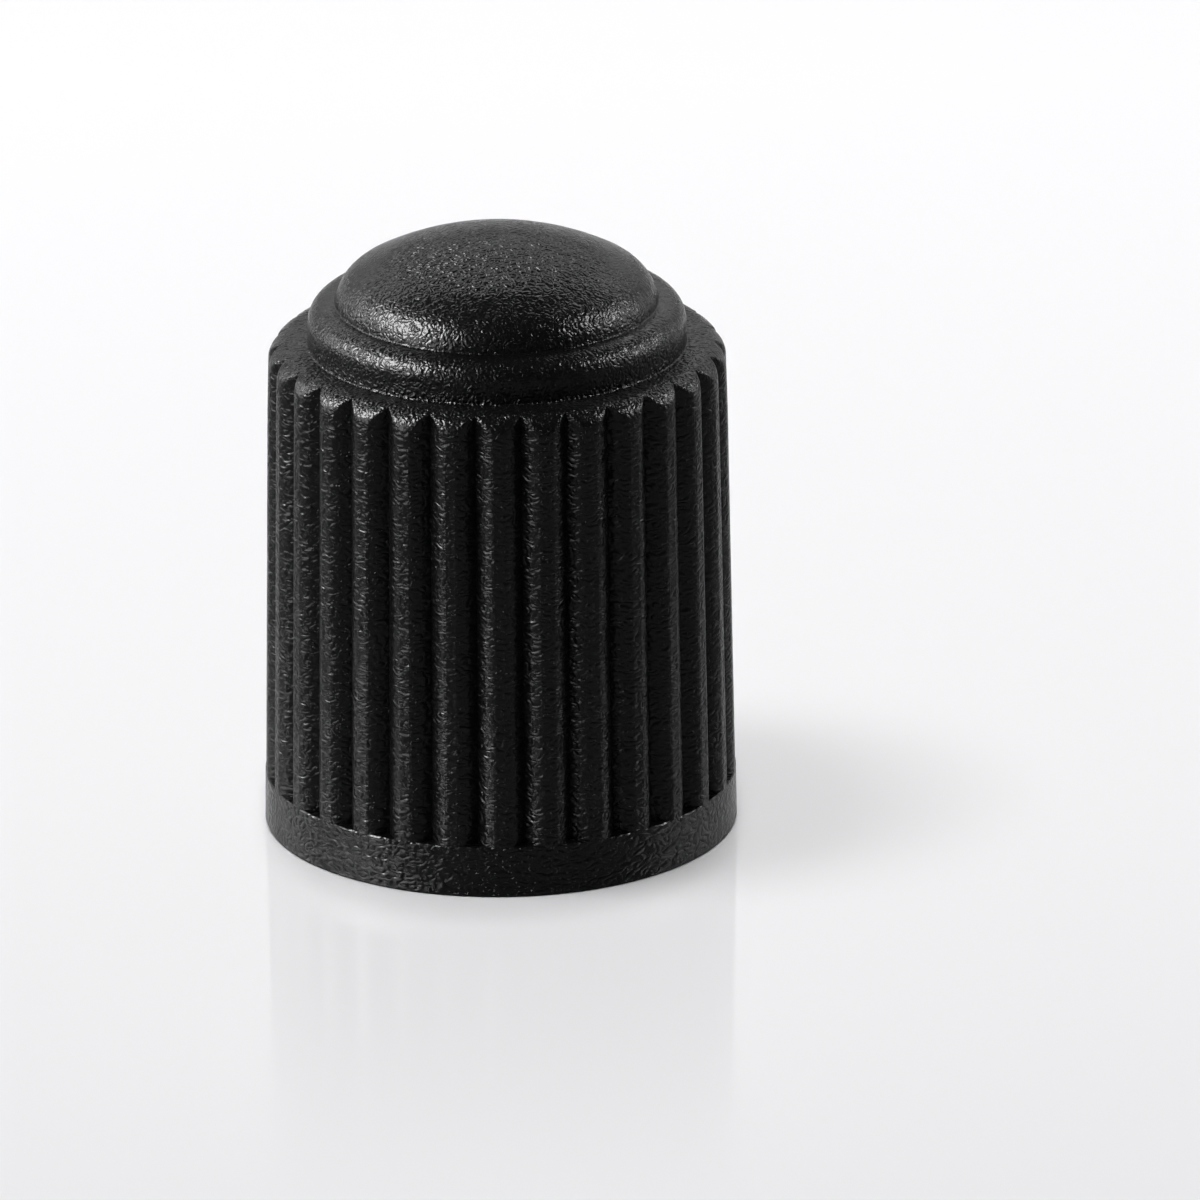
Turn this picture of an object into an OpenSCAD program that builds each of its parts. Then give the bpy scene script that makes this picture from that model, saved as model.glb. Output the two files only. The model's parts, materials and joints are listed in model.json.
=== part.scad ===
// Tyre valve cap: one moulded piece that screws over the end of a valve stem and keeps dirt out.
// It stands on its open end. The origin is the centre of that end's face and +Z runs up the axis
// to the top of the dome. All lengths are millimetres.

/* [Bore] */
// Radius of the bore that takes the stem, to the root of its thread
bore_r = 3.9; // [3.85:0.01:4.1]
// How far the plain lead-in at the mouth stands back from the bore
lead_step = 0.35; // [0.15:0.05:0.5]
// Depth of the plain lead-in
lead_depth = 0.8; // [0.4:0.1:1.5]
// Height of the cone that leads from the lead-in to the bore
lead_cone_h = 0.35; // [0.2:0.05:0.6]

/* [Skirt] */
// Wall of the skirt round the bore, at the open end
skirt_wall = 1.3; // [1.15:0.05:2]
// Height of the shoulder above the open end
shoulder_z = 11.05; // [9:0.05:13]
// Draft of the skirt, which narrows it upwards so that it leaves the mould
draft = 0.85; // [0.2:0.05:1.2]
// Radius of the rounding where the skirt turns into the shoulder
shoulder_round = 0.35; // [0.15:0.05:0.5]

/* [Flutes] */
// Number of grip flutes around the skirt
flute_count = 30; // [18:1:34]
// Height of the plain band below the flutes
band_h = 1.15; // [0.6:0.05:3]
// Width of a flute across its mouth
flute_w = 0.71; // [0.5:0.01:0.78]
// Depth of a flute
flute_depth = 0.3; // [0.15:0.01:0.35]
// Radius that softens the two edges of a flute
flute_edge_r = 0.3; // [0.1:0.05:0.35]

/* [Bead] */
// Width of the shoulder, from the skirt's side in to the bead
shoulder_w = 0.89; // [0.7:0.01:1.2]
// Height of the bead above the shoulder
bead_h = 0.95; // [0.6:0.05:1.5]
// Radius of the rounding over the top of the bead
bead_round = 0.48; // [0.2:0.02:0.6]

/* [Dome] */
// Width of the bead's top, from its side in to the dome
bead_w = 0.6; // [0.4:0.02:0.9]
// Height of the dome above the bead
dome_h = 1.5; // [1.2:0.05:2]
// Radius of the crown of the dome
crown_r = 6.3; // [5.5:0.1:8]
// Radius of the rounding between the crown and the side of the dome
dome_round = 0.95; // [0.6:0.05:1.1]

/* [Seat] */
// Wall between the sealing face and the shoulder above it
seat_wall = 1.25; // [0.8:0.05:1.8]
// How far the socket for the stem's nose stands in from the bore
nose_step = 0.3; // [0.1:0.05:0.4]
// Depth of that socket, past the end of the bore
nose_h = 0.3; // [0.25:0.05:0.6]
// Width of the sealing face, from the socket's side in to the recess
seat_w = 1.1; // [0.8:0.05:1.6]
// Height of the sealing ridge in the middle of that face, which is half round
ridge_h = 0.2; // [0.1:0.02:0.24]

/* [Core recess] */
// Wall between the recess and the top of the dome
crown_wall = 1.5; // [1:0.1:2]
// Radius of the rounding at the end of the recess
recess_round = 0.5; // [0.2:0.05:0.8]

/* [Hidden] */

// Roundness of the curves
$fn = 96;
// How far a cut runs past the face that it opens
past = 0.2;

base_r = bore_r + skirt_wall;

// Radius of the skirt's drafted side at height z
function skirt_r(z) = base_r - z * tan(draft);

// The top steps in twice: from the skirt to the bead, and from the bead to the dome
bead_r = skirt_r(shoulder_z) - shoulder_w;
dome_r = bead_r - bead_w;
bead_top = shoulder_z + bead_h;
dome_top = bead_top + dome_h;

// The shoulder's rounding touches the drafted side and the flat of the shoulder
shoulder_arc_z = shoulder_z - shoulder_round;
shoulder_arc_r = skirt_r(shoulder_arc_z) - shoulder_round / cos(draft);

// The bead's rounding is limited by the width of its top and by its height
bead_arc = min(bead_round, bead_w, bead_h);

// The dome's rounding touches its side and, from inside, the crown
crown_z = dome_top - crown_r;
dome_arc_r = dome_r - dome_round;
dome_arc_z = crown_z + sqrt(pow(crown_r - dome_round, 2) - pow(dome_arc_r, 2));
dome_arc_angle = atan2(dome_arc_z - crown_z, dome_arc_r);

// Slope of a flute's flanks, and how far its edge rounding reaches along the skirt
flank_angle = atan2(flute_depth, flute_w / 2);
edge_reach = flute_edge_r * tan(flank_angle / 2);

// Levels inside: the sealing face, the end of the threaded bore and the end of the recess
seat_z = shoulder_z - seat_wall;
bore_end = seat_z - nose_h;
recess_end = dome_top - crown_wall;

// Radii inside, worked inwards from the bore
lead_r = bore_r + lead_step;
nose_r = bore_r - nose_step;
recess_r = nose_r - seat_w;
ridge_r = nose_r - seat_w / 2;

// Half section of the drafted skirt with its rounded shoulder
module skirt_section() {
    touch_z = shoulder_arc_z + shoulder_round * sin(draft);
    polygon([[0, 0], [base_r, 0], [skirt_r(touch_z), touch_z], [shoulder_arc_r, shoulder_arc_z],
             [shoulder_arc_r, shoulder_z], [0, shoulder_z]]);
    translate([shoulder_arc_r, shoulder_arc_z])
        circle(r = shoulder_round);
}

// Half section of the bead: an upright side with a rounded top
module bead_section() {
    arc_r = bead_r - bead_arc;
    translate([0, shoulder_z - past])
        square([bead_r, bead_h + past - bead_arc]);
    translate([0, shoulder_z - past])
        square([arc_r, bead_h + past]);
    translate([arc_r, bead_top - bead_arc])
        circle(r = bead_arc);
}

// Half section of the dome: a wide crown that rounds over into a steep side
module dome_section() {
    touch = [crown_r * cos(dome_arc_angle), crown_z + crown_r * sin(dome_arc_angle)];
    intersection() {
        translate([0, crown_z])
            circle(r = crown_r);
        polygon([[0, shoulder_z], [dome_arc_r, shoulder_z], [dome_arc_r, dome_arc_z], touch,
                 [touch[0], dome_top + past], [0, dome_top + past]]);
    }
    intersection() {
        translate([dome_arc_r, dome_arc_z])
            circle(r = dome_round);
        translate([0, shoulder_z])
            square([dome_r + past, dome_top - shoulder_z]);
    }
    translate([0, shoulder_z - past])
        square([dome_r, max(dome_arc_z - shoulder_z, 0) + past]);
}

// Outside form before the flutes are cut
module outer_form() {
    rotate_extrude()
        intersection() {
            union() {
                skirt_section();
                bead_section();
                dome_section();
            }
            square([base_r, dome_top]);
        }
}

// Section of one flute, with x along the skirt and y outwards from its surface
module flute_section() {
    flank = [flute_w / 2 - edge_reach * cos(flank_angle), -edge_reach * sin(flank_angle)];
    crest = [flute_w / 2 + edge_reach, 0];
    difference() {
        polygon([[0, -flute_depth], flank, crest, [crest[0], past], [-crest[0], past],
                 [-crest[0], crest[1]], [-flank[0], flank[1]]]);
        for (side = [-1, 1])
            translate([side * crest[0], -flute_edge_r])
                circle(r = flute_edge_r);
    }
}

// One flute, from the plain band up along the drafted side and out through the shoulder
module flute() {
    translate([skirt_r(band_h), 0, band_h])
        rotate([0, -draft, 0])
            rotate([0, 0, -90])
                linear_extrude(height = shoulder_z - band_h + past)
                    flute_section();
}

// Bore for the stem, with its lead-in at the mouth
module stem_bore() {
    translate([0, 0, -past])
        cylinder(r = bore_r, h = bore_end + past);
    translate([0, 0, -past])
        cylinder(r = lead_r, h = lead_depth + past);
    translate([0, 0, lead_depth])
        cylinder(r1 = lead_r, r2 = bore_r, h = lead_cone_h);
}

// Socket for the stem's nose, up to the sealing face
module nose_socket() {
    translate([0, 0, bore_end - past])
        cylinder(r = nose_r, h = nose_h + past);
}

// Recess over the valve core, with a rounded end
module core_recess() {
    rotate_extrude()
        union() {
            translate([0, seat_z - past])
                square([recess_r, recess_end - recess_round - seat_z + past]);
            translate([0, seat_z - past])
                square([recess_r - recess_round, recess_end - seat_z + past]);
            translate([recess_r - recess_round, recess_end - recess_round])
                circle(r = recess_round);
        }
}

// Half round ridge on the sealing face, which presses on the nose of the stem
module sealing_ridge() {
    translate([0, 0, seat_z])
        rotate_extrude()
            translate([ridge_r, 0])
                circle(r = ridge_h);
}

module cap() {
    color([0.06, 0.06, 0.065])
        union() {
            difference() {
                outer_form();
                for (i = [0 : flute_count - 1])
                    rotate([0, 0, i * 360 / flute_count])
                        flute();
                stem_bore();
                nose_socket();
                core_recess();
            }
            sealing_ridge();
        }
}

cap();
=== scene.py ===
"""Dresses the tyre valve cap for its picture: the fluted moulding with its inner thread, in black
grained plastic, on a pale floor under soft lamps. All lengths are metres."""

import json
import math

import bpy
from bpy.props import FloatProperty, FloatVectorProperty, IntProperty, PointerProperty
from mathutils import Matrix, Vector


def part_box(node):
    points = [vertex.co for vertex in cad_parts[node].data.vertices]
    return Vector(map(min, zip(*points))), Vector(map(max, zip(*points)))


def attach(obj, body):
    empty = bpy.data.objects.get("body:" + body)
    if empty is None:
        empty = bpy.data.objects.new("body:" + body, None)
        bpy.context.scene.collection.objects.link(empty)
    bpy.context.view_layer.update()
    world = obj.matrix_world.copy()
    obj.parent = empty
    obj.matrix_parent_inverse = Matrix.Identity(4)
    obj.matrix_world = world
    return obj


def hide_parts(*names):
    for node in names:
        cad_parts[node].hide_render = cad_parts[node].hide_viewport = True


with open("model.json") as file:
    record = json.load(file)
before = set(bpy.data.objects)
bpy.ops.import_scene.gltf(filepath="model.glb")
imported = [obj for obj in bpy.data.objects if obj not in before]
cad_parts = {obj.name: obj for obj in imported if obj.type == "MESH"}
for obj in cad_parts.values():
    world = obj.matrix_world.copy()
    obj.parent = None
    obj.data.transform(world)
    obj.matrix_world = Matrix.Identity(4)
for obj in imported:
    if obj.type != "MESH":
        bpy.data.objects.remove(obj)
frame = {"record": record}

bl_info = {
    "name": "Tyre valve cap",
    "version": (1, 0, 0),
    "blender": (4, 5, 0),
    "location": "View3D > Sidebar > Valve cap",
    "description": "Makes a fluted plastic cap for a tyre valve and the plain stage that it stands on",
    "category": "Add Mesh",
}

MM = 0.001
NODE = "cap"
BODY = "root"
CAD_LOW, CAD_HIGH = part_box(NODE)
THREAD_MOUNT = next(m for m in frame["record"]["mounts"] if m["name"] == "thread")

# Slope of the thread's flanks
THREAD_FLANK = math.radians(30)
# Points of the shell that lie closer than this are one point
MERGE_DISTANCE = 4e-7
# Edges of the shell that bend more than this stay sharp
CREASE = math.radians(34)
# Distance of the lamps from the cap
LAMP_DISTANCE = 0.5
# Width of the picture and of one millimetre at the cap, in pixels, and of the camera's sensor in mm
PICTURE_WIDTH = 1200
PIXELS_PER_MM = 45.33
SENSOR_WIDTH = 36.0

# Each lamp: its name, its turn round from the camera's side and its rise in degrees, its width and
# height, its radiance, and the part of the shading that it lights
LAMPS = (
    ("top_softbox", 0, 89, (0.04, 0.2), 71.0, "diffuse"),
    ("left_softbox", -81, 67, (0.13, 0.18), 10.0, "diffuse"),
    ("left_strip", -75, 35, (0.24, 0.26), 118.0, "gloss"),
    ("left_low_strip", -58, 10, (0.4, 0.18), 15.0, "gloss"),
    ("left_back_strip", -106, 12, (0.46, 0.2), 9.0, "gloss"),
    ("left_back_softbox", -122, 32, (0.16, 0.2), 14.0, "gloss"),
    ("right_strip", 94, 34, (0.13, 0.16), 64.0, "gloss"),
    ("back_softbox", 180, 38, (0.7, 0.14), 4.0, "gloss"),
    ("right_low_strip", 105, 16, (0.4, 0.2), 6.0, "gloss"),
)


def length(name, description, default):
    """A length in metres, shown to a hundredth of a millimetre."""
    return FloatProperty(name=name, description=description, default=default, min=0.0,
                         unit="LENGTH", precision=5)


def angle(name, description, degrees):
    """An angle, given in degrees and kept in radians."""
    return FloatProperty(name=name, description=description, default=math.radians(degrees),
                         subtype="ANGLE")


def share(name, description, default):
    """A number from 0 to 1."""
    return FloatProperty(name=name, description=description, default=default, min=0.0, max=1.0)


def strength(name, description, default):
    """A factor that can't be negative."""
    return FloatProperty(name=name, description=description, default=default, min=0.0)


def colour(name, description, default):
    """A colour as linear red, green and blue."""
    return FloatVectorProperty(name=name, description=description, default=default, size=3,
                               subtype="COLOR", min=0.0, max=1.0)


class SkirtSizes(bpy.types.PropertyGroup):
    """The drafted skirt with its shoulder, and the rim that the cap stands on"""

    base_radius: length("Base radius", "Radius of the skirt at the open end", CAD_HIGH.x)
    shoulder_height: length("Shoulder height", "Height of the shoulder above the open end", 11.05 * MM)
    draft: angle("Draft", "How far the skirt leans inwards on its way up", 0.85)
    shoulder_round: length("Shoulder rounding", "Radius between the skirt and the shoulder", 0.5 * MM)
    rim_round: length("Rim rounding", "Small radius on both edges of the rim", 0.05 * MM)


class FluteSizes(bpy.types.PropertyGroup):
    """The grip flutes round the skirt"""

    count: IntProperty(name="Flutes", description="Number of flutes around the skirt", default=30, min=3)
    steps: IntProperty(name="Steps", description="Mesh steps across one flute and its crest",
                       default=20, min=4)
    band_height: length("Band height", "Height of the plain band below the flutes", 1.15 * MM)
    width: length("Width", "Width of a flute across its mouth", 0.6 * MM)
    depth: length("Depth", "Depth of a flute", 0.3 * MM)
    edge_radius: length("Edge radius", "Radius that softens the two edges of a flute", 0.6 * MM)
    ledge_edge: length("Ledge edge", "Width of the worn edge of the ledge under a flute", 0.025 * MM)
    run_out: length("Run-out softness", "Softness of the edge where a flute leaves the shoulder", 0.08 * MM)


class TopSizes(bpy.types.PropertyGroup):
    """The bead and the dome"""

    bead_radius: length("Bead radius", "Radius of the bead's upright side", 4.146 * MM)
    bead_height: length("Bead height", "Height of the bead above the shoulder", 0.95 * MM)
    bead_round: length("Bead rounding", "Radius over the top of the bead", 0.48 * MM)
    dome_radius: length("Dome radius", "Radius of the dome's side", 3.546 * MM)
    dome_top: length("Dome top", "Height of the dome's top above the open end", CAD_HIGH.z)
    dome_round: length("Dome rounding", "Radius between the dome's side and its crown", 0.95 * MM)
    crown_radius: length("Crown radius", "Radius of the dome's crown", 6.3 * MM)
    foot_round: length("Foot rounding", "Radius in the corners at the feet of the bead and dome", 0.04 * MM)


class InsideSizes(bpy.types.PropertyGroup):
    """The mouth, the threaded bore, the seat and the recess over it"""

    bore_radius: length("Bore radius", "Radius of the bore, to the root of its thread",
                        THREAD_MOUNT["dims"]["r_mm"] * MM)
    lead_radius: length("Lead-in radius", "Radius of the plain lead-in at the mouth", 4.25 * MM)
    lead_depth: length("Lead-in depth", "Depth of the plain lead-in", 0.8 * MM)
    cone_height: length("Cone height", "Height of the cone from the lead-in to the bore", 0.35 * MM)
    bore_end: length("Bore end", "Height of the bore's end", 9.5 * MM)
    nose_radius: length("Socket radius", "Radius of the socket for the stem's nose", 3.6 * MM)
    seat_height: length("Seat height", "Height of the sealing face", 9.8 * MM)
    ridge_radius: length("Ridge radius", "Radius of the circle that the sealing ridge follows", 3.05 * MM)
    ridge_height: length("Ridge height", "Height of the sealing ridge", 0.2 * MM)
    recess_radius: length("Recess radius", "Radius of the recess over the valve core", 2.5 * MM)
    recess_end: length("Recess end", "Height of the recess's end", 12.0 * MM)
    recess_round: length("Recess rounding", "Radius at the end of the recess", 0.5 * MM)


class ThreadSizes(bpy.types.PropertyGroup):
    """The inner thread, 32 turns to the inch"""

    pitch: length("Pitch", "Rise of the thread in one turn", 25.4 * MM / 32)
    height: length("Height", "Height of the thread's ridge above the bore wall", 0.38 * MM)
    crest: length("Crest", "Width of the flat on top of the ridge", 0.2 * MM)
    top: length("Top", "Height at which the thread ends", 9.2 * MM)
    taper: length("Taper", "Height over which the ridge fades in and out", 0.8 * MM)


class PlasticLook(bpy.types.PropertyGroup):
    """The black plastic and its grain"""

    colour: colour("Colour", "Colour of the plastic", (0.002, 0.002, 0.0022))
    roughness: share("Roughness", "Roughness of the duller part of the surface", 0.32)
    gloss: share("Gloss", "Strength of the surface's reflection", 0.078)
    skin: share("Skin", "Share of the smoother moulding skin in the surface", 0.5)
    skin_roughness: share("Skin roughness", "Roughness of the moulding skin", 0.13)
    wrinkle: length("Wrinkle", "Size of the grain's wrinkles", 0.16 * MM)
    relief: length("Relief", "Depth of the grain", 0.02 * MM)
    side_grain: strength("Side grain", "Strength of the grain on the skirt", 3.0)
    top_grain: strength("Top grain", "Strength of the grain above the shoulder", 1.9)
    level_grain: strength("Level grain", "What level places add to the top grain", 4.8)
    folds: strength("Folds", "Strength of the long folds above the shoulder", 1.2)
    level_folds: strength("Level folds", "What level places add to the folds", 6.6)


class StageSizes(bpy.types.PropertyGroup):
    """The floor, the lamps and the camera"""

    floor_size: length("Floor size", "Side of the square floor", 4.0)
    # The floor's two colours are a painted light falloff: painted shade towards the camera and painted
    # light behind the cap
    floor_near_shade: colour("Near colour", "Colour of the floor towards the camera", (0.75, 0.748, 0.764))
    floor_far_light: colour("Far colour", "Colour of the floor behind the cap", (0.93, 0.925, 0.94))
    floor_roughness: share("Floor roughness", "Roughness of the floor's clear gloss", 0.05)
    mirror_start: length("Mirror start", "From the cap's axis to where the gloss starts to fade", 7 * MM)
    mirror_end: length("Mirror end", "From the cap's axis to where the gloss has faded out", 26 * MM)
    room: strength("Room light", "Light of the room all round", 0.1)
    backdrop: strength("Backdrop light", "What the backdrop adds to it behind the cap", 0.2)
    distance: length("Camera distance", "From the camera to the picture's centre", 0.48)
    elevation: angle("Camera elevation", "Angle of the view above the horizon", 20.5)
    turn: angle("Camera turn", "How far the camera stands round the cap", -0.3)
    roll: angle("Camera roll", "How far the camera leans to the right", 0.41)
    aim_right: length("Aim right", "How far right of the open end's centre the camera aims", 2.18 * MM)
    aim_up: length("Aim up", "How far above the open end's centre the camera aims", 4.68 * MM)


class Value:
    """One output socket of a node tree, which takes part in plain arithmetic."""

    def __init__(self, tree, socket):
        self.tree = tree
        self.socket = socket

    def maths(self, operation, *operands):
        numbers = {i: operand for i, operand in enumerate(operands)}
        return node(self.tree, "ShaderNodeMath", {"operation": operation}, numbers)

    def __add__(self, other):
        return self.maths("ADD", self, other)

    __radd__ = __add__

    def __sub__(self, other):
        return self.maths("SUBTRACT", self, other)

    def __rsub__(self, other):
        return self.maths("SUBTRACT", other, self)

    def __mul__(self, other):
        return self.maths("MULTIPLY", self, other)

    __rmul__ = __mul__

    def __truediv__(self, other):
        return self.maths("DIVIDE", self, other)

    def __lt__(self, other):
        return self.maths("LESS_THAN", self, other)

    def __abs__(self):
        return self.maths("ABSOLUTE", self)

    def sqrt(self):
        return self.maths("SQRT", self)

    def sin(self):
        return self.maths("SINE", self)

    def cos(self):
        return self.maths("COSINE", self)

    def tan(self):
        return self.maths("TANGENT", self)

    def atan2(self, other):
        return self.maths("ARCTAN2", self, other)

    def round(self):
        return self.maths("ROUND", self)

    def floor(self):
        return self.maths("FLOOR", self)

    def smallest(self, other, softness):
        return self.maths("SMOOTH_MIN", self, other, softness)

    def largest(self, other):
        return self.maths("MAXIMUM", self, other)

    def clamp(self, low, high):
        return node(self.tree, "ShaderNodeClamp", {}, {"Value": self, "Min": low, "Max": high})

    def ramp(self, start, end, low=0.0, high=1.0, smooth=True):
        """Goes from low at start to high at end, and stays flat outside."""
        settings = {"interpolation_type": "SMOOTHSTEP" if smooth else "LINEAR"}
        return node(self.tree, "ShaderNodeMapRange", settings,
                    {"Value": self, "From Min": start, "From Max": end, "To Min": low, "To Max": high})

    def part(self, name):
        """One of the X, Y and Z parts of a vector."""
        return node(self.tree, "ShaderNodeSeparateXYZ", {}, {"Vector": self}, name)

    def times(self, x, y, z):
        """A vector with its parts scaled."""
        return node(self.tree, "ShaderNodeVectorMath", {"operation": "MULTIPLY"}, {0: self, 1: (x, y, z)})


def find(sockets, key):
    """The socket at a place in the list, or the one in use with that name."""
    if isinstance(key, int):
        return sockets[key]
    for socket in sockets:
        if socket.name == key and socket.enabled:
            return socket
    raise KeyError(f"the node has no socket in use called {key}")


def node(tree, kind, settings, values, out=0):
    """Adds a node: first its settings, then its sockets' values and links. Returns one output."""
    made = tree.nodes.new(kind)
    for name, setting in settings.items():
        setattr(made, name, setting)
    for key, value in values.items():
        socket = find(made.inputs, key)
        if isinstance(value, Value):
            tree.links.new(value.socket, socket)
        else:
            socket.default_value = value
    if not made.outputs:
        return made
    return Value(tree, find(made.outputs, out))


def choose(mask, chosen, otherwise):
    """chosen where the mask is 1, otherwise where it is 0."""
    return otherwise + mask * (chosen - otherwise)


class Section:
    """Half section of the cap, as rows of points (radius, height) from the recess's centre out.

    cut is how deep a flute may reach at a row, and soft how soft its edge is there. turns is 1 on
    the rows that climb with the thread, and ridge is 1 on its crest."""

    def __init__(self):
        self.rows = []

    def add(self, radius, height, cut=0.0, soft=0.0, turns=0.0, ridge=0.0):
        self.rows.append((radius, height, cut, soft, turns, ridge))

    def arc(self, centre, radius, start, end, steps, first=True, **more):
        """Rows along an arc between two angles, in degrees from the outward direction."""
        for i in range(0 if first else 1, steps + 1):
            bearing = math.radians(start + (end - start) * i / steps)
            self.add(centre[0] + radius * math.cos(bearing), centre[1] + radius * math.sin(bearing), **more)

    def mesh(self, name):
        mesh = bpy.data.meshes.new(name)
        mesh.from_pydata([(row[0], 0.0, row[1]) for row in self.rows], [], [])
        for place, attribute in enumerate(("cut", "soft", "turns", "ridge"), start=2):
            mesh.attributes.new(attribute, "FLOAT", "POINT").data.foreach_set(
                "value", [row[place] for row in self.rows])
        return mesh


def add_inside(section, inside, thread, rim_round):
    """From the centre of the recess down to the mouth."""
    section.add(0.0, inside.recess_end)
    section.add(inside.recess_radius * 0.4, inside.recess_end)
    corner = (inside.recess_radius - inside.recess_round, inside.recess_end - inside.recess_round)
    section.arc(corner, inside.recess_round, 90, 0, steps=6)
    section.add(inside.recess_radius, inside.seat_height)
    section.arc((inside.ridge_radius, inside.seat_height), inside.ridge_height, -180, 0, steps=8)
    section.add(inside.nose_radius, inside.seat_height)
    section.add(inside.nose_radius, inside.bore_end)
    section.add(inside.bore_radius, inside.bore_end)
    flank = thread.height * math.tan(THREAD_FLANK)
    step = thread.top
    bottom = inside.lead_depth + inside.cone_height
    while step > bottom - thread.pitch:
        for offset, ridge in ((0.0, 0.0), (flank, 1.0), (flank + thread.crest, 1.0),
                              (2 * flank + thread.crest, 0.0)):
            section.add(inside.bore_radius, step - offset, turns=1.0, ridge=ridge)
        step -= thread.pitch
    section.add(inside.bore_radius, bottom)
    section.add(inside.lead_radius, inside.lead_depth)
    section.arc((inside.lead_radius + rim_round, rim_round), rim_round, 180, 270, steps=3)


def add_outside(section, skirt, flutes, top):
    """From the rim up the skirt, over the shoulder and the bead to the top of the dome."""

    def side(height):
        return skirt.base_radius - height * math.tan(skirt.draft)

    draft = math.degrees(skirt.draft)
    rim = skirt.rim_round
    rim_centre = side(rim) - rim / math.cos(skirt.draft)
    section.arc((rim_centre, rim), rim, -90, draft, steps=3)
    ledge = flutes.band_height
    # A cut deeper than the flutes leaves them at their full depth
    deep = 2 * flutes.depth
    for height in (ledge * 0.5, ledge - flutes.ledge_edge):
        section.add(side(height), height)
    section.add(side(ledge), ledge, cut=flutes.ledge_edge)
    section.add(side(ledge), ledge, cut=deep)
    arc_z = skirt.shoulder_height - skirt.shoulder_round
    arc_r = side(arc_z) - skirt.shoulder_round / math.cos(skirt.draft)
    # Rows at these parts of the way up to the shoulder's rounding
    for part in (0.15, 0.35, 0.55, 0.75, 0.9):
        height = ledge + (arc_z - ledge) * part
        section.add(side(height), height, cut=deep)
    section.arc((arc_r, arc_z), skirt.shoulder_round, draft, 90, steps=18, cut=deep, soft=flutes.run_out)

    foot = top.foot_round
    shoulder = skirt.shoulder_height
    section.arc((top.bead_radius + foot, shoulder + foot), foot, 270, 180, steps=3)
    bead_top = shoulder + top.bead_height
    bead_centre = (top.bead_radius - top.bead_round, bead_top - top.bead_round)
    section.arc(bead_centre, top.bead_round, 0, 90, steps=12)

    crown_z = top.dome_top - top.crown_radius
    arc_r = top.dome_radius - top.dome_round
    arc_z = crown_z + math.sqrt((top.crown_radius - top.dome_round) ** 2 - arc_r ** 2)
    foot_z = bead_top + foot
    foot_r = arc_r + math.sqrt((top.dome_round + foot) ** 2 - (foot_z - arc_z) ** 2)
    slope = math.degrees(math.atan2(foot_z - arc_z, foot_r - arc_r))
    section.arc((foot_r, foot_z), foot, 270, 180 + slope, steps=3)
    touch = math.degrees(math.atan2(arc_z - crown_z, arc_r))
    section.arc((arc_r, arc_z), top.dome_round, slope, touch, steps=16, first=False)
    # The crown's rows stop a little short of the axis, where one last row closes them
    last = 90 - (90 - touch) * 0.12
    section.arc((0.0, crown_z), top.crown_radius, touch, last, steps=8, first=False)
    section.add(0.0, top.dome_top)


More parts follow.
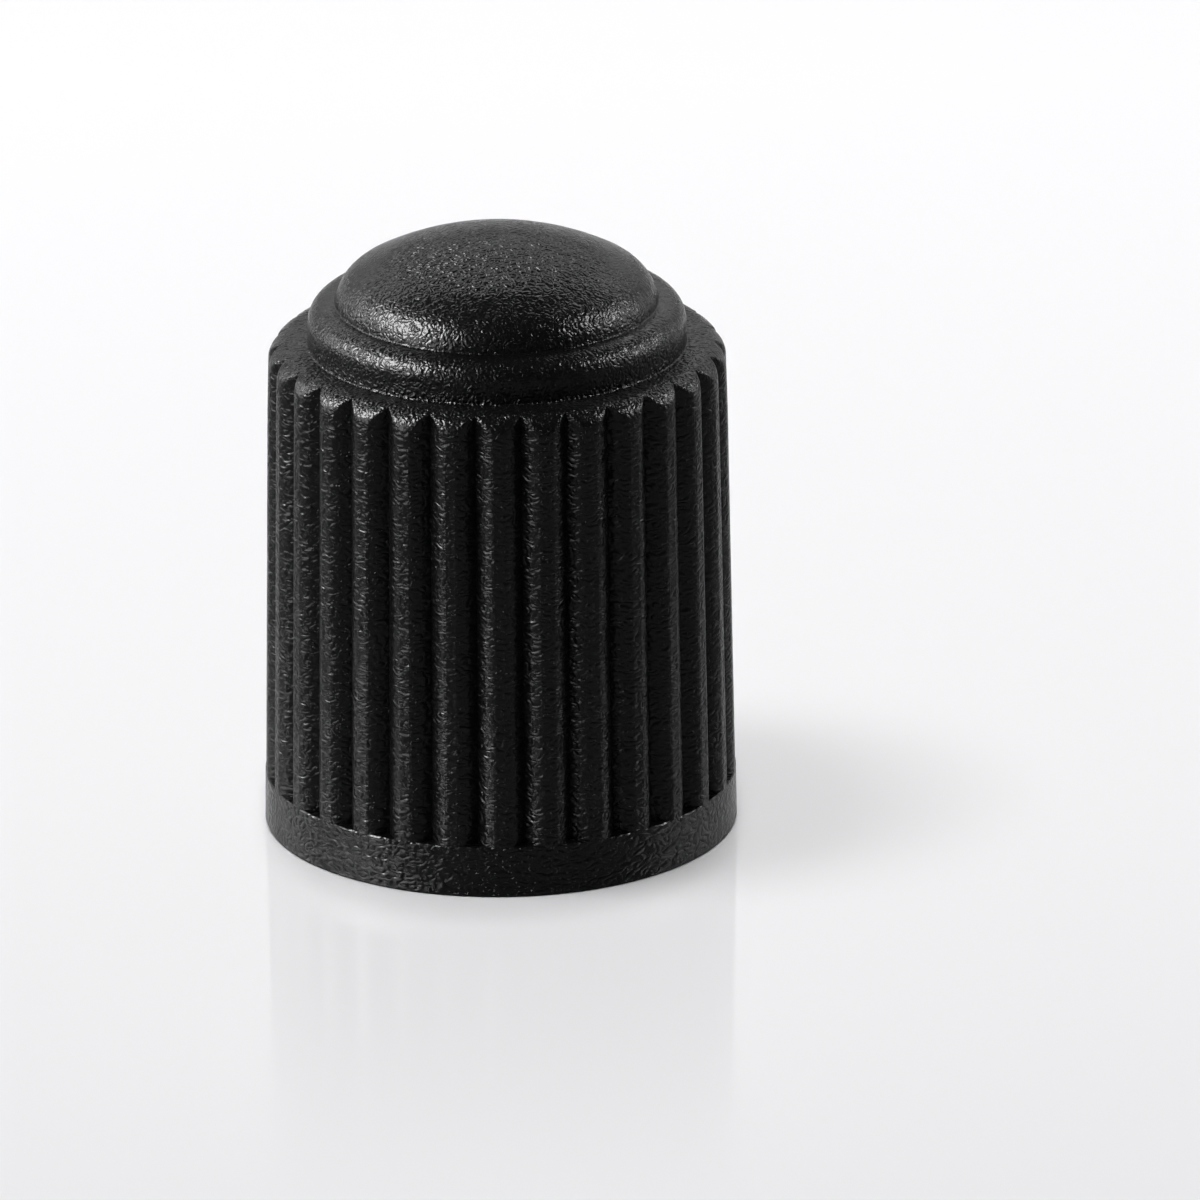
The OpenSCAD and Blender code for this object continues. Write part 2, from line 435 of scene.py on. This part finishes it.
def shell_tree():
    """Sweeps a section round the axis, presses the flutes into its outside and turns its thread."""
    tree = bpy.data.node_groups.new("fluted_shell", "GeometryNodeTree")
    sockets = (
        ("Section", "NodeSocketGeometry"), ("Flutes", "NodeSocketInt"), ("Steps", "NodeSocketInt"),
        ("Flute width", "NodeSocketFloat"), ("Flute depth", "NodeSocketFloat"),
        ("Edge radius", "NodeSocketFloat"), ("Base radius", "NodeSocketFloat"),
        ("Draft", "NodeSocketFloat"), ("Pitch", "NodeSocketFloat"), ("Ridge height", "NodeSocketFloat"),
        ("Thread bottom", "NodeSocketFloat"), ("Thread top", "NodeSocketFloat"),
        ("Taper", "NodeSocketFloat"), ("Material", "NodeSocketMaterial"),
    )
    for name, kind in sockets:
        tree.interface.new_socket(name, in_out="INPUT", socket_type=kind)
    tree.interface.new_socket("Shell", in_out="OUTPUT", socket_type="NodeSocketGeometry")
    entry = tree.nodes.new("NodeGroupInput")

    def given(name):
        return Value(tree, entry.outputs[name])

    def sampled(kind, value):
        settings = {"data_type": kind, "domain": "POINT"}
        return node(tree, "GeometryNodeSampleIndex", settings,
                    {"Geometry": given("Section"), "Value": value, "Index": row})

    def attribute(name):
        value = node(tree, "GeometryNodeInputNamedAttribute", {"data_type": "FLOAT"}, {"Name": name})
        return sampled("FLOAT", value)

    rows = node(tree, "GeometryNodeAttributeDomainSize", {"component": "MESH"},
                {"Geometry": given("Section")}, "Point Count")
    around = given("Flutes") * given("Steps")
    grid = node(tree, "GeometryNodeMeshGrid", {},
                {"Size X": 1.0, "Size Y": 1.0, "Vertices X": around + 1, "Vertices Y": rows}, "Mesh")
    index = node(tree, "GeometryNodeInputIndex", {}, {})
    # The small number keeps a whole result of the division from being rounded down
    column = (index / rows + 1e-5).floor()
    row = index - column * rows
    place = sampled("FLOAT_VECTOR", node(tree, "GeometryNodeInputPosition", {}, {}))
    bearing = column / around * math.tau

    turns = attribute("turns")
    climb = (place.part("Z") + given("Pitch") * column / around).clamp(given("Thread bottom"),
                                                                       given("Thread top"))
    height = choose(turns, climb, place.part("Z"))
    fade_in = ((height - given("Thread bottom")) / given("Taper")).clamp(0.0, 1.0)
    fade_out = ((given("Thread top") - height) / given("Taper")).clamp(0.0, 1.0)
    ridge = attribute("ridge") * given("Ridge height") * fade_in * fade_out
    plain = place.part("X") - ridge

    # The two flanks of a flute meet in a V. An arc softens each flank's outer edge. off is the
    # angle from the middle of the nearest flute.
    skirt = given("Base radius") - height * given("Draft").tan()
    passed = bearing * given("Flutes") / math.tau
    off = abs(passed - passed.round()) * math.tau / given("Flutes")
    half = given("Flute width") / 2
    slope = given("Flute depth") / half
    flank_angle = slope.atan2(1.0)
    reach = given("Edge radius") * (flank_angle / 2).tan()
    flank = (skirt - given("Flute depth")) / (off.cos() - slope * off.sin())
    flank_end = (half - reach * flank_angle.cos()).atan2(skirt - reach * flank_angle.sin())
    centre_x = half + reach
    centre_y = skirt - given("Edge radius")
    along = centre_x * off.sin() + centre_y * off.cos()
    over = given("Edge radius") * given("Edge radius") - centre_x * centre_x - centre_y * centre_y
    edge = along + (over + along * along).sqrt()
    edge_end = centre_x.atan2(skirt)
    flute = choose(off < flank_end, flank, choose(off < edge_end, edge, skirt))
    radius = plain.smallest(flute, attribute("soft")).largest(plain - attribute("cut"))

    position = node(tree, "ShaderNodeCombineXYZ", {},
                    {"X": radius * bearing.cos(), "Y": radius * bearing.sin(), "Z": height})
    swept = node(tree, "GeometryNodeSetPosition", {}, {"Geometry": grid, "Position": position})
    closed = node(tree, "GeometryNodeMergeByDistance", {}, {"Geometry": swept, "Distance": MERGE_DISTANCE})
    bend = node(tree, "GeometryNodeInputMeshEdgeAngle", {}, {}, "Unsigned Angle")
    smooth = node(tree, "GeometryNodeSetShadeSmooth", {"domain": "EDGE"},
                  {"Geometry": closed, "Shade Smooth": bend < CREASE})
    real = node(tree, "GeometryNodeRealizeInstances", {}, {"Geometry": smooth})
    dressed = node(tree, "GeometryNodeSetMaterial", {}, {"Geometry": real, "Material": given("Material")})
    node(tree, "NodeGroupOutput", {}, {0: dressed})
    return tree


def grow(piece, tree, inputs):
    """Runs the tree on the piece's mesh and keeps the result as the piece's plain mesh."""
    modifier = piece.modifiers.new(tree.name, "NODES")
    modifier.node_group = tree
    for item in tree.interface.items_tree:
        if item.in_out == "INPUT" and item.name in inputs:
            modifier[item.identifier] = inputs[item.name]
    evaluated = piece.evaluated_get(bpy.context.evaluated_depsgraph_get())
    mesh = bpy.data.meshes.new_from_object(evaluated)
    piece.modifiers.clear()
    piece.data = mesh


def new_piece(name, mesh):
    piece = bpy.data.objects.new(name, mesh)
    bpy.context.scene.collection.objects.link(piece)
    return piece


def new_material(name):
    material = bpy.data.materials.new(name)
    material.use_nodes = True
    material.node_tree.nodes.clear()
    return material, material.node_tree


def noise(tree, place, detail=0.0, distortion=0.0):
    """A noise whose features are about one unit of its coordinates across."""
    return node(tree, "ShaderNodeTexNoise", {},
                {"Vector": place, "Scale": 1.0, "Detail": detail, "Distortion": distortion})


def wrinkles(tree, place, detail=0.0, distortion=0.3):
    """Ridges with narrow valleys, which run where the noise crosses its middle."""
    return abs(noise(tree, place, detail, distortion) - 0.5)


def grained_plastic(look, band, shoulder, dome_top):
    """Black plastic with the fine wrinkled grain of a spark-eroded mould.

    The grain lies across the skirt in short wrinkles. Above the shoulder it has no direction and
    is mixed with long folds. Both are deeper on the crown and on the shoulder's flat."""
    material, tree = new_material("grained black plastic")
    place = node(tree, "ShaderNodeTexCoord", {}, {}, "Object")
    # Masks by height, which fade over a few tenths of a millimetre
    height = place.part("Z")
    above = height.ramp(shoulder - 0.5 * MM, shoulder - 0.15 * MM)
    on_crown = height.ramp(dome_top - 0.6 * MM, dome_top - 0.2 * MM)
    over_edge = height.ramp(shoulder - 0.12 * MM, shoulder)
    on_flat = over_edge * height.ramp(shoulder, shoulder + 0.3 * MM, 1.0, 0.0)
    on_flutes = height.ramp(band - 0.05 * MM, band + 0.1 * MM) * (1 - above)
    level = on_crown + 0.35 * on_flat

    def scaled(across, up):
        """The place with so many units to the size of one wrinkle."""
        return place.times(across / look.wrinkle, across / look.wrinkle, up / look.wrinkle)

    side_grain = wrinkles(tree, scaled(0.8, 1.3))
    top_grain = wrinkles(tree, scaled(1.6, 1.6))
    folds = wrinkles(tree, scaled(0.45, 0.45), detail=1.0, distortion=0.8)
    grain = choose(above,
                   top_grain * (look.top_grain + look.level_grain * level)
                   + folds * (look.folds + look.level_folds * level),
                   side_grain * look.side_grain)
    fine = noise(tree, scaled(3.0, 3.0), detail=1.0)
    waves = noise(tree, place.times(1 / (1.4 * MM), 1 / (1.4 * MM), 1 / (0.9 * MM)), detail=1.0)
    specks = fine.ramp(0.64, 0.74)
    relief = grain + specks * choose(above, 0.2, 0.4) + waves * (1 + above)
    bump = node(tree, "ShaderNodeBump", {},
                {"Strength": 1.0, "Distance": look.relief, "Height": relief})

    darker, lighter = ((*[part * tone for part in look.colour], 1.0) for tone in (0.85, 1.15))
    tint = node(tree, "ShaderNodeMix", {"data_type": "RGBA"},
                {"Factor": waves, "A": darker, "B": lighter}, "Result")
    uneven = (fine - 0.5) * 0.1 + on_flutes * 0.05
    finishes = [node(tree, "ShaderNodeBsdfPrincipled", {},
                     {"Base Color": tint, "Roughness": uneven + roughness, "IOR": 1.5,
                      "Specular IOR Level": look.gloss, "Normal": bump})
                for roughness in (look.roughness, look.skin_roughness)]
    plastic = node(tree, "ShaderNodeMixShader", {}, {0: look.skin, 1: finishes[0], 2: finishes[1]})
    node(tree, "ShaderNodeOutputMaterial", {}, {"Surface": plastic})
    return material


def floor_material(stage):
    """A pale board with a painted light falloff, a little lighter further back, and a clear gloss near the
    cap that fades out.
    """
    material, tree = new_material("pale board")
    place = node(tree, "ShaderNodeTexCoord", {}, {}, "Object")
    # Painted light falloff: the board's colour runs from the darker near colour to the lighter far colour
    # along Y, as if the lamps lit it more behind the cap
    front, rear = -25 * MM, 49 * MM
    back = place.part("Y").ramp(front, rear, smooth=False)
    away = node(tree, "ShaderNodeVectorMath", {"operation": "LENGTH"}, {0: place}, "Value")
    glossy_share = away.ramp(stage.mirror_start, stage.mirror_end, 1.0, 0.0)
    tint = node(tree, "ShaderNodeMix", {"data_type": "RGBA"},
                {"Factor": back, "A": (*stage.floor_near_shade, 1.0), "B": (*stage.floor_far_light, 1.0)}, "Result")
    dull = node(tree, "ShaderNodeBsdfDiffuse", {}, {"Color": tint})
    glossy = node(tree, "ShaderNodeBsdfPrincipled", {},
                  {"Base Color": tint, "Roughness": stage.floor_roughness, "IOR": 1.33})
    board = node(tree, "ShaderNodeMixShader", {}, {0: glossy_share, 1: dull, 2: glossy})
    node(tree, "ShaderNodeOutputMaterial", {}, {"Surface": board})
    return material


def add_floor(stage):
    half = stage.floor_size / 2
    mesh = bpy.data.meshes.new("floor")
    mesh.from_pydata([(-half, -half, 0), (half, -half, 0), (half, half, 0), (-half, half, 0)], [],
                     [(0, 1, 2, 3)])
    mesh.materials.append(floor_material(stage))
    new_piece("floor", mesh)


def direction(turn, rise):
    """Away from the cap, turned round from the camera's side and raised above the floor."""
    return Vector((math.sin(turn) * math.cos(rise), -math.cos(turn) * math.cos(rise), math.sin(rise)))


def add_lamp(name, turn, rise, size, radiance, lights):
    """A softbox that faces the cap, and lights either its diffuse shading or its gloss."""
    away = direction(math.radians(turn), math.radians(rise))
    lamp = bpy.data.lights.new(name, "AREA")
    lamp.shape = "RECTANGLE"
    lamp.size, lamp.size_y = size
    lamp.energy = radiance * math.pi * size[0] * size[1]
    holder = bpy.data.objects.new(name, lamp)
    holder.location = away * LAMP_DISTANCE
    holder.rotation_mode = "QUATERNION"
    holder.rotation_quaternion = away.to_track_quat("Z", "Y")
    holder.visible_camera = False
    holder.visible_diffuse = lights == "diffuse"
    holder.visible_glossy = lights == "gloss"
    bpy.context.scene.collection.objects.link(holder)


def add_backdrop(stage):
    """A bright low backdrop behind the cap, with a darker room above and in front.

    The camera sees plain white."""
    world = bpy.data.worlds.new("studio")
    world.use_nodes = True
    tree = world.node_tree
    tree.nodes.clear()
    towards = node(tree, "ShaderNodeTexCoord", {}, {}, "Generated")
    behind = towards.part("Y").ramp(0.0, 0.45)
    low = 1 - towards.part("Z").ramp(0.4, 0.86)
    backdrop = behind * low * (0.6 + 0.4 * towards.part("Z").ramp(0.0, 0.3))
    level = stage.room + stage.backdrop * backdrop
    rays = (("Is Camera Ray", 1), ("Is Glossy Ray", backdrop), ("Is Transmission Ray", 1))
    for kind, brightness in rays:
        level = level.largest(brightness * node(tree, "ShaderNodeLightPath", {}, {}, kind))
    shade = node(tree, "ShaderNodeBackground", {}, {"Color": (1.0, 1.0, 1.0, 1.0), "Strength": level})
    node(tree, "ShaderNodeOutputWorld", {}, {"Surface": shade})
    bpy.context.scene.world = world


def add_camera(stage):
    camera = bpy.data.cameras.new("camera")
    camera.sensor_width = SENSOR_WIDTH
    camera.lens = SENSOR_WIDTH * PIXELS_PER_MM * stage.distance / MM / PICTURE_WIDTH
    camera.clip_start = 0.01
    camera.clip_end = 20.0
    holder = bpy.data.objects.new("camera", camera)
    bpy.context.scene.collection.objects.link(holder)
    back = direction(stage.turn, stage.elevation)
    level = Vector((math.cos(stage.turn), math.sin(stage.turn), 0.0))
    upright = back.cross(level)
    right = level * math.cos(stage.roll) - upright * math.sin(stage.roll)
    up = upright * math.cos(stage.roll) + level * math.sin(stage.roll)
    rotation = Matrix((right, up, back)).transposed()
    place = right * stage.aim_right + up * stage.aim_up + back * stage.distance
    holder.matrix_world = Matrix.Translation(place) @ rotation.to_4x4()
    bpy.context.scene.camera = holder


class VALVECAP_OT_moulding(bpy.types.Operator):
    """Makes the fluted cap with its inner thread"""

    bl_idname = "valvecap.moulding"
    bl_label = "Cap moulding"

    def execute(self, context):
        scene = context.scene
        skirt, flutes, top = scene.valvecap_skirt, scene.valvecap_flutes, scene.valvecap_top
        inside, thread = scene.valvecap_inside, scene.valvecap_thread
        section = Section()
        add_inside(section, inside, thread, skirt.rim_round)
        add_outside(section, skirt, flutes, top)
        piece = new_piece("cap_moulding", section.mesh("cap_section"))
        plastic = grained_plastic(scene.valvecap_plastic, flutes.band_height, skirt.shoulder_height,
                                  top.dome_top)
        grow(piece, shell_tree(), {
            "Flutes": flutes.count, "Steps": flutes.steps, "Flute width": flutes.width,
            "Flute depth": flutes.depth, "Edge radius": flutes.edge_radius,
            "Base radius": skirt.base_radius, "Draft": skirt.draft, "Pitch": thread.pitch,
            "Ridge height": thread.height, "Thread bottom": inside.lead_depth + inside.cone_height,
            "Thread top": thread.top, "Taper": thread.taper, "Material": plastic,
        })
        if len(piece.data.polygons) < flutes.count * flutes.steps:
            raise RuntimeError("the cap's shell came out with less than one ring of faces")
        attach(piece, BODY)
        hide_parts(NODE)
        return {"FINISHED"}


class VALVECAP_OT_stage(bpy.types.Operator):
    """Makes the floor, the backdrop, the lamps and the camera"""

    bl_idname = "valvecap.stage"
    bl_label = "Stage"

    def execute(self, context):
        stage = context.scene.valvecap_stage
        add_floor(stage)
        add_backdrop(stage)
        for lamp in LAMPS:
            add_lamp(*lamp)
        add_camera(stage)
        return {"FINISHED"}


class VALVECAP_PT_panel(bpy.types.Panel):
    """The cap's operators and sizes"""

    bl_label = "Valve cap"
    bl_idname = "VALVECAP_PT_panel"
    bl_space_type = "VIEW_3D"
    bl_region_type = "UI"
    bl_category = "Valve cap"

    def draw(self, context):
        for operator in OPERATORS:
            self.layout.operator(operator.bl_idname)
        for name in GROUPS:
            group = getattr(context.scene, name)
            box = self.layout.box()
            for key in group.bl_rna.properties.keys():
                if key not in {"rna_type", "name"}:
                    box.prop(group, key)


OPERATORS = (VALVECAP_OT_moulding, VALVECAP_OT_stage)
GROUPS = {
    "valvecap_skirt": SkirtSizes, "valvecap_flutes": FluteSizes, "valvecap_top": TopSizes,
    "valvecap_inside": InsideSizes, "valvecap_thread": ThreadSizes, "valvecap_plastic": PlasticLook,
    "valvecap_stage": StageSizes,
}


def register():
    for kind in (*GROUPS.values(), *OPERATORS, VALVECAP_PT_panel):
        bpy.utils.register_class(kind)
    for name, kind in GROUPS.items():
        setattr(bpy.types.Scene, name, PointerProperty(type=kind))


def unregister():
    for name in GROUPS:
        delattr(bpy.types.Scene, name)
    for kind in (VALVECAP_PT_panel, *OPERATORS, *GROUPS.values()):
        bpy.utils.unregister_class(kind)


def main():
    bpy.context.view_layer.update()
    register()
    bpy.context.scene.view_settings.view_transform = "Standard"
    bpy.ops.valvecap.moulding()
    bpy.ops.valvecap.stage()


if __name__ == "__main__":
    main()
